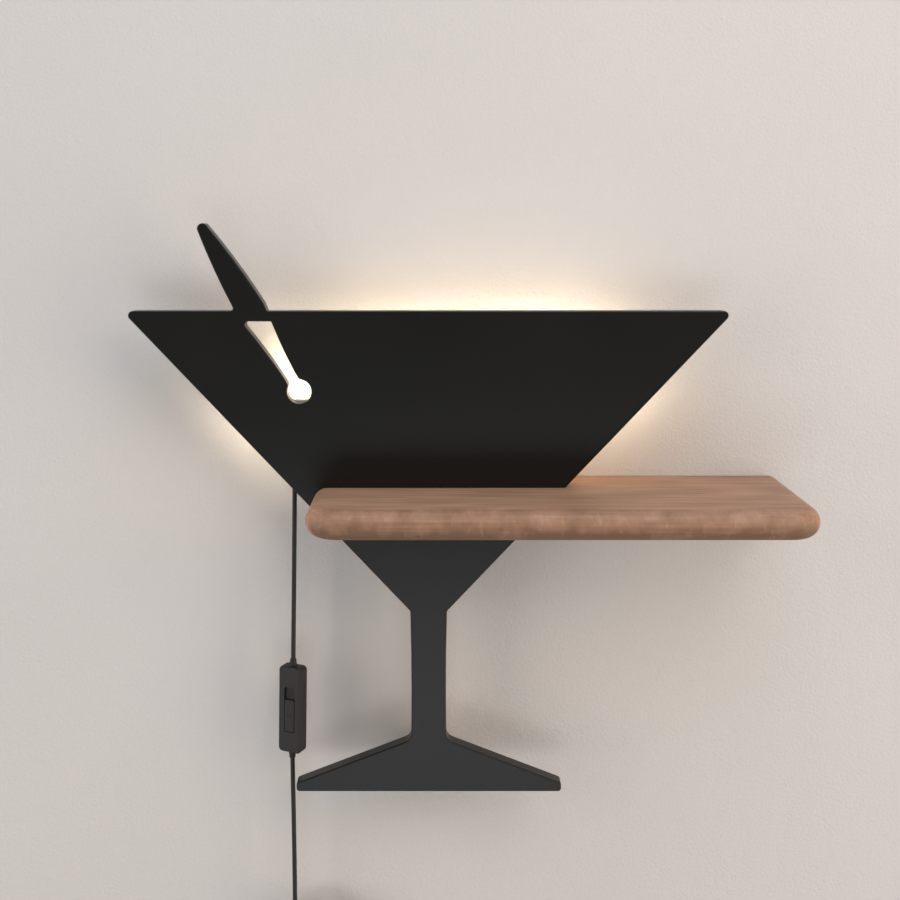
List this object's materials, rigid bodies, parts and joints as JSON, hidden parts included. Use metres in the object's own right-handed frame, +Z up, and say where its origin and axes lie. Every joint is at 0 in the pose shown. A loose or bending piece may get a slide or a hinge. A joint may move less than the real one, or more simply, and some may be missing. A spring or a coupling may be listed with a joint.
{
  "type": "wall lamp",
  "caption": "Wall lamp with a black panel cut as a cocktail glass and pick, a rounded wooden shelf halved through it, light tape behind the bowl and an inline slide switch on its cord.",
  "frame": {"origin": "on the wall plane, midway between the two keyhole entries", "axes": "+Z up, +X to the viewer's right, +Y into the wall, so the front faces -Y"},
  "size_m": [0.5088, 0.13, 0.6633],
  "materials": {
    "black_paint": "satin black paint on wood",
    "brown_wood": "oiled, satin",
    "pale_wood": "planed, unfinished",
    "zinc_steel": "zinc plated",
    "felt": "felt",
    "black_plastic": "moulded, fine texture",
    "grey_plastic": "moulded",
    "tape_white": "white printed strip",
    "light": "translucent, lit",
    "cord_jacket": "soft jacket",
    "brass": "plain",
    "copper_core": "insulated core",
    "plug_steel": "bright pressed sheet"
  },
  "bodies": {
    "lamp": {"glass_panel": "black_paint", "shelf_board": "brown_wood", "back_rail": "pale_wood", "rail_screws": "zinc_steel", "shelf_screws": "zinc_steel", "hanger_plate_left": "zinc_steel", "hanger_plate_right": "zinc_steel", "hanger_screws": "zinc_steel", "foot_spacer": "pale_wood", "foot_screw": "zinc_steel", "wall_pad": "felt", "corner_clip_upper": "grey_plastic", "corner_clip_lower": "grey_plastic", "junction_base": "black_plastic", "junction_lid": "black_plastic", "junction_screws": "zinc_steel", "feed_wire_left": "copper_core", "feed_wire_right": "copper_core", "cord_clip": "black_plastic", "clip_screw": "zinc_steel", "cord_upper": "cord_jacket", "switch_front_shell": "black_plastic", "switch_rear_shell": "black_plastic", "switch_contacts": "brass", "switch_screws": "zinc_steel", "switch_collar_top": "cord_jacket", "switch_collar_bottom": "cord_jacket", "cord_lower": "cord_jacket", "cord_coil": "cord_jacket", "coil_tie": "black_plastic", "cord_tail": "cord_jacket", "plug_relief": "cord_jacket", "plug_body": "black_plastic", "plug_shell": "plug_steel", "plug_tongue": "tape_white", "plug_contacts": "brass", "led_tape_top": "tape_white", "led_tape_side": "tape_white", "led_tape_bottom": "tape_white", "light_band_top": "light", "light_band_side": "light", "light_band_bottom": "light"},
    "slider": {"switch_slider": "grey_plastic", "switch_bridge": "brass"}
  },
  "joints": [
    {"name": "switch_slide", "type": "slide", "parent": "lamp", "child": "slider", "axis": [0.0209, 0, 0.9998], "range_m": [0, 0.0095]}
  ]
}
